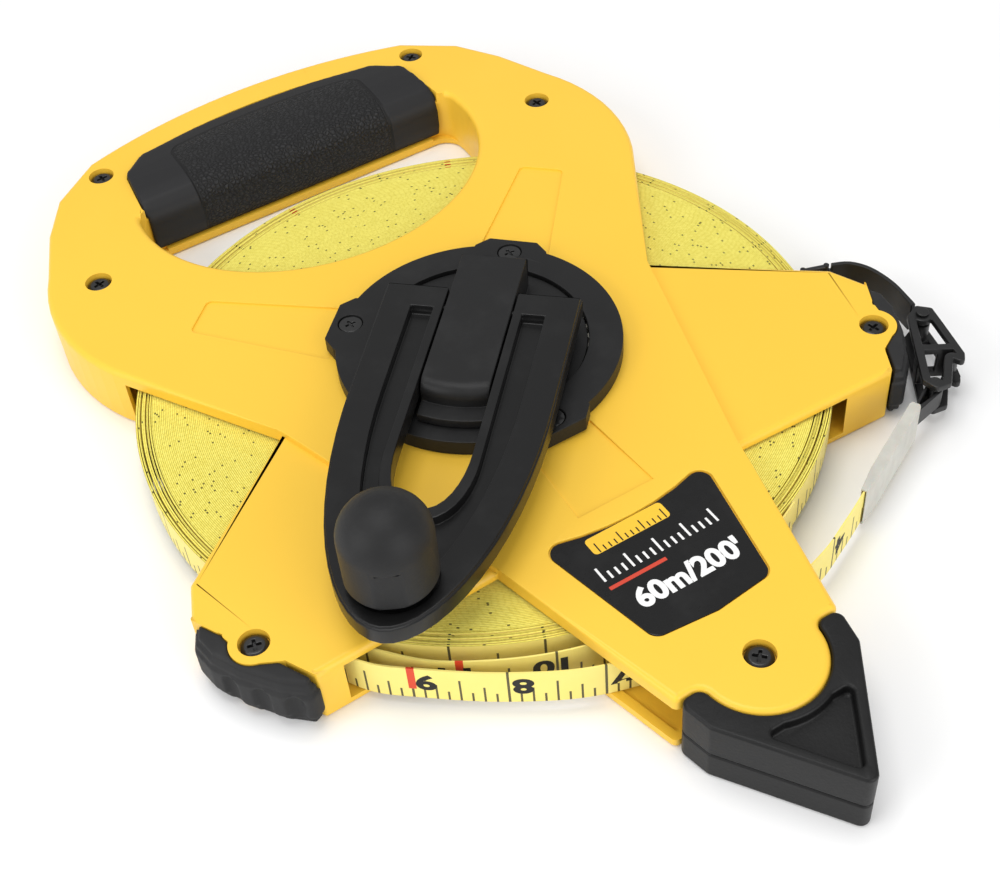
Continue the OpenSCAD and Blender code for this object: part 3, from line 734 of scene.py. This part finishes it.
def cut(piece, tool):
    alone(piece)
    carve = piece.modifiers.new("carve", "BOOLEAN")
    carve.operation = "DIFFERENCE"
    carve.solver = "EXACT"
    carve.object = tool
    bpy.ops.object.modifier_apply(modifier=carve.name)
    bpy.data.objects.remove(tool)


for node, side in (("right_bumper", 1), ("left_bumper", -1)):
    shoe = bench_copy(node, "rubber_" + node)
    for x, y in GROOVE_PLACES:
        cut(shoe, groove_bar(side * x * MM, y * MM, GROOVE_R, GROOVE_TOP))
    remesh(shoe, 0.45 * MM, 7)
    smooth(shoe, 60)
    dress(shoe, rubber, "root", node)

# %% [markdown]
# ## Rubber grip
#
# The grip is a soft shell over the handle. It gets the same even skin, and its finish has two zones: a
# pebbled panel where the palm sits and smooth rubber round it, with a narrow groove between them. The
# zones follow the distance from a rectangle whose back edge is bowed like the handle.

# %% Grip
PANEL_HALF = 33 * MM
PANEL_BACK = 152.5 * MM
PANEL_CURVE = 2.4

grip = bench_copy("handle_grip", "soft_handle_grip")
remesh(grip, 0.7 * MM, 10)
smooth(grip, 75)

gx = pebbled.axis("X")
gy = pebbled.axis("Y")
over_x = (gx.maths("ABSOLUTE") - PANEL_HALF).maths("MAXIMUM", 0.0)
over_y = (gy + gx * gx * PANEL_CURVE - PANEL_BACK).maths("MAXIMUM", 0.0)
from_panel = (over_x * over_x + over_y * over_y) ** 0.5
inside_panel = from_panel.between(4.4 * MM, 3.9 * MM)
panel_groove = from_panel.distance_to(4.6 * MM).between(0.9 * MM, 0.2 * MM)
pebble_height = pebble_dome * inside_panel * 0.35
# Painted shade: the colour is darker in the crevices between the pebbles and darker still along the groove
# round the panel.
pebbled.set("Base Color", pebbled.mix(panel_groove * 0.8, pebbled.mix(
    inside_panel * (1 - pebble_dome), (0.015, 0.015, 0.016), (0.005, 0.005, 0.005)), (0.004, 0.004, 0.004)))
pebbled.set("Roughness", 0.5 - inside_panel * pebble_dome * 0.1 + pebbled.noise(1400, 3, 0.6) * 0.08)
pebbled.bump(pebble_height + (1 - inside_panel) * 0.55 - panel_groove * 0.6, 0.0007)
dress(grip, pebbled, "root", "handle_grip")

# %% [markdown]
# ## The wound tape
#
# A full coil is over a hundred turns. Only the outermost few are loose enough to be seen as single turns,
# so the inside is one spun body with a slightly uneven top and the last turns are separate thin rings,
# each a rectangle spun round the axle, a little off centre and a little up or down.

# %% Coil
TURNS_ROUND = 240
LOOSE_RINGS = 6
RING_PITCH = 0.8 * MM


def spun(name, profile, steps=TURNS_ROUND):
    """A ring: an outline in radius and height, spun round the axle."""
    mesh = bpy.data.meshes.new(name)
    mesh.from_pydata([(r, 0, z) for r, z in profile],
                     [(i, (i + 1) % len(profile)) for i in range(len(profile))], [])
    piece = bpy.data.objects.new(name, mesh)
    bpy.context.scene.collection.objects.link(piece)
    shape(piece, "EDGE", lambda e: True, bpy.ops.mesh.spin, steps=steps, angle=math.tau,
          center=(0, 0, 0), axis=(0, 0, 1))
    shape(piece, "VERT", lambda v: True, bpy.ops.mesh.remove_doubles, threshold=0.01 * MM)
    shape(piece, "FACE", lambda f: True, bpy.ops.mesh.normals_make_consistent, inside=False)
    return piece


packed_r = COIL_R - LOOSE_RINGS * RING_PITCH
GROUP = 2.4 * MM
groups = int((packed_r - DRUM_R) / GROUP)
top_line = []
for g in range(groups + 1):
    r = DRUM_R + 0.3 * MM + g * (packed_r - DRUM_R - 0.3 * MM) / groups
    top_line.append((r, TAPE_HI - (0.12 + 0.1 * math.sin(g * 2.3) * math.cos(g * 0.7)) * MM))
bottom_line = [(packed_r, TAPE_LO), (DRUM_R + 0.3 * MM, TAPE_LO)]
coil = spun("wound_coil", top_line + bottom_line)
smooth(coil, 30)
dress(coil, coil_side, "reel", "wound_tape")

for ring in range(LOOSE_RINGS):
    outer = COIL_R - ring * RING_PITCH
    lift = 0.14 * math.sin(ring * 2.7) * MM
    shift = 0.12 * MM * (ring % 3 - 1) if ring else 0
    inner = outer - 0.5 * MM
    turn_ring = spun("loose_turn_%d" % (ring + 1),
                     [(inner, TAPE_LO + 0.2 * MM + lift), (outer, TAPE_LO + 0.2 * MM + lift),
                      (outer, TAPE_HI - 0.2 * MM + lift), (inner, TAPE_HI - 0.2 * MM + lift)])
    shape(turn_ring, "VERT", lambda v: True, bpy.ops.transform.translate, value=(shift, -shift * 0.6, 0))
    smooth(turn_ring, 30)
    dress(turn_ring, coil_side, "reel")
    turn_ring.data.materials.append(coil_face.material)
    for face in turn_ring.data.polygons:
        if abs(face.normal.z) < 0.5:
            face.material_index = 1

# %% [markdown]
# ## The loose end of the tape
#
# The last turn leaves the coil, passes through the open spike and ends in a frosted sleeve at the hook. It
# is a flat strip that bends only sideways, so it is a grid laid along a smooth route and given a thickness.
# The grid's UV map holds inches along the tape, which the printed marks read.

# %% Tape route and strips
STRIP = 0.5 * MM
TAIL_ROUTE = ((-97.6, -46.6), (-91.6, -61.8), (-83.6, -77.4), (-73.2, -87.4), (-53.9, -102.3),
              (-31.6, -114.4), (0, -122), (20, -121), (37, -117), (48.5, -112.2), (60, -106.8),
              (93.4, -90.1))
INNER_ROUTE = ((-94.7, -50.4), (-86.6, -65), (-77, -78.3), (-65, -90.4), (-42.8, -102.8),
               (-20, -109.2), (4, -110), (27, -104.8), (42, -98.6))


class Route:
    """A smooth line through some corners: where() turns a distance along it into a place."""

    def __init__(self, corners, between=8):
        given = [Vector(c) * MM for c in corners]
        padded = [given[0]] + given + [given[-1]]
        self.points = []
        for a, b, c, d in zip(padded, padded[1:], padded[2:], padded[3:]):
            for k in range(between):
                t = k / between
                self.points.append(0.5 * (2 * b + (c - a) * t + (2 * a - 5 * b + 4 * c - d) * t * t
                                          + (3 * b - a - 3 * c + d) * t ** 3))
        self.points.append(given[-1])
        self.length = sum((q - p).length for p, q in zip(self.points, self.points[1:]))

    def where(self, distance, outward=0.0):
        """The place that far along the route, moved outward to the right of the way it runs."""
        for p, q in zip(self.points, self.points[1:]):
            step = (q - p).length
            if distance <= step or q is self.points[-1]:
                way = (q - p).normalized()
                return p + way * distance + Vector((way.y, -way.x)) * outward
            distance -= step


def tape_strip(name, corners, first_inch_at):
    route = Route(corners)
    steps = int(route.length / (2 * MM))
    bpy.ops.object.select_all(action="DESELECT")
    bpy.ops.mesh.primitive_grid_add(x_subdivisions=steps, y_subdivisions=4, size=1)
    strip = bpy.context.object
    strip.name = strip.data.name = name
    uv = strip.data.uv_layers.active
    uv.name = "tape"
    for spot in uv.data:
        spot.uv.x = (spot.uv.x * route.length - first_inch_at * MM) / INCH
    for vertex in strip.data.vertices:
        along = (vertex.co.x + 0.5) * route.length
        rise = TAPE_LO + (vertex.co.y + 0.5) * (TAPE_HI - TAPE_LO)
        place = route.where(along)
        vertex.co = (place.x, place.y, rise)
    alone(strip)
    body = strip.modifiers.new("thickness", "SOLIDIFY")
    body.thickness = STRIP
    body.offset = 0
    bpy.ops.object.modifier_apply(modifier=body.name)
    smooth(strip, 40)
    dress(strip, strip_face, "root")
    print(name, "is", round(route.length * 1000, 1), "mm long")
    return strip, route


tail, tail_route = tape_strip("tape_tail_strip", TAIL_ROUTE, 47.3)
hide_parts("tape_tail")
inner_route = tape_strip("inner_turn_strip", INNER_ROUTE, 53.3)[1]

# %% [markdown]
# ## Numbers on the tape
#
# The inch numbers are real thin shapes on the tape's face: a text object is made a mesh, and each of its
# points is laid on the route at its own distance. As on the real reel, the tape runs away from its hook,
# so the numbers stand on their heads when the tape is seen from the front.

# %% Numbers
DIGIT_HEIGHT = 6.0 * MM
DIGIT_FOOT = TAPE_LO + 3.6 * MM
FIRST_DIGIT = 48.3 * MM
INNER_DIGITS = ((47.6, "1", "11_left"), (54.2, "1", "11_right"),
                (72.2, "0", "10_left"), (79.6, "1", "10_right"))


def letters(text, height, stretch=1.3, weight=0.055):
    """A flat text mesh, its lower left corner at the origin, x across and y up."""
    bpy.ops.object.select_all(action="DESELECT")
    bpy.ops.object.text_add()
    made = bpy.context.object
    made.data.body = text
    made.data.size = height / 0.7
    made.data.offset = weight * height
    made.data.resolution_u = 5
    bpy.ops.object.convert(target="MESH")
    made = bpy.context.object
    low = Vector([min(v.co[i] for v in made.data.vertices) for i in range(3)])
    for vertex in made.data.vertices:
        vertex.co = Vector(((vertex.co.x - low.x) * stretch, vertex.co.y - low.y, 0))
    return made


def print_number(text, route, start, name):
    """Lay a number on the tape's outer face, upside down, starting that far along the route."""
    number = letters(text, DIGIT_HEIGHT)
    number.name = name
    width = max(v.co.x for v in number.data.vertices)
    height = max(v.co.y for v in number.data.vertices)
    for vertex in number.data.vertices:
        place = route.where(start + width - vertex.co.x, STRIP / 2 + 0.03 * MM)
        vertex.co = (place.x, place.y, DIGIT_FOOT + height - vertex.co.y)
    number.data.update()
    dress(number, ink_black, "root")


for step, digit in enumerate("987654"):
    print_number(digit, tail_route, FIRST_DIGIT + step * INCH, "inch_number_" + digit)
for place, digit, name in INNER_DIGITS:
    print_number(digit, inner_route, place * MM, "inch_number_" + name)

# %% [markdown]
# ## The label
#
# The label is a printed film in a recess. What it shows here is generic: a yellow bar with ruler marks, a
# row of white marks, a red line and the length of the tape. Each printed shape lies just above the film.

# %% Label
LABEL_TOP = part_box("length_label")[1].z
PRINT_Z = LABEL_TOP + 0.02 * MM
film = bench_copy("length_label", "soft_length_label")
soften(film, 0.12 * MM, 2)
smooth(film, 32)
label_film = black_plastic("label_film", 0.010, 0.26, 700, 0.000006, specular=0.25)
dress(film, label_film, "root", "length_label")

ink_white = Finish("print_white", (0.86, 0.86, 0.85), 0.45)
ink_white.set("Roughness", 0.4 + ink_white.noise(600, 2, 0.5) * 0.12)
ink_white.bump(ink_white.noise(900, 2, 0.5), 0.000008)
ink_yellow = Finish("print_yellow", (0.93, 0.56, 0.03), 0.45)
ink_yellow.set("Roughness", 0.4 + ink_yellow.noise(600, 2, 0.5) * 0.12)
ink_yellow.bump(ink_yellow.noise(900, 2, 0.5), 0.000008)


def printed_bar(name, x0, x1, y0, y1, finish, level=0):
    """A thin rounded bar printed on the label."""
    bpy.ops.object.select_all(action="DESELECT")
    bpy.ops.mesh.primitive_plane_add(size=1, location=((x0 + x1) / 2 * MM, (y0 + y1) / 2 * MM,
                                                       PRINT_Z + level * 0.02 * MM))
    bar = bpy.context.object
    bar.name = name
    bar.scale = ((x1 - x0) * MM, (y1 - y0) * MM, 1)
    bpy.ops.object.transform_apply(location=True, rotation=True, scale=True)
    shape(bar, "VERT", lambda v: True, bpy.ops.mesh.bevel, offset=min(x1 - x0, y1 - y0) * 0.2 * MM,
          segments=3, affect="VERTICES")
    dress(bar, finish, "root")
    return bar


def printed_text(name, text, x, y, height, finish, stretch=1.0, weight=0.06):
    word = letters(text, height * MM, stretch, weight)
    word.name = name
    for vertex in word.data.vertices:
        vertex.co = (vertex.co.x + x * MM, vertex.co.y + y * MM, PRINT_Z)
    word.data.update()
    dress(word, finish, "root")
    return word


printed_bar("label_yellow_bar", -16, 9, -86.6, -80.6, ink_yellow)
for tick in range(13):
    reach = 3.6 if tick % 4 == 0 else 1.9
    printed_bar("label_bar_mark_%d" % (tick + 1), -14.3 + tick * 1.8, -13.9 + tick * 1.8,
                -86.4, -86.4 + reach, label_film, 1)
for tick in range(17):
    reach = 5.2 if tick % 4 == 0 else 2.8
    printed_bar("label_white_mark_%d" % (tick + 1), -19 + tick * 2.3, -18.3 + tick * 2.3,
                -95.4, -95.4 + reach, ink_white)
printed_bar("label_red_line", -19.2, -1, -98.6, -97.4, ink_red)
printed_text("label_length", "60m/200'", -15.6, -108.6, 6.2, ink_white, 1.02)
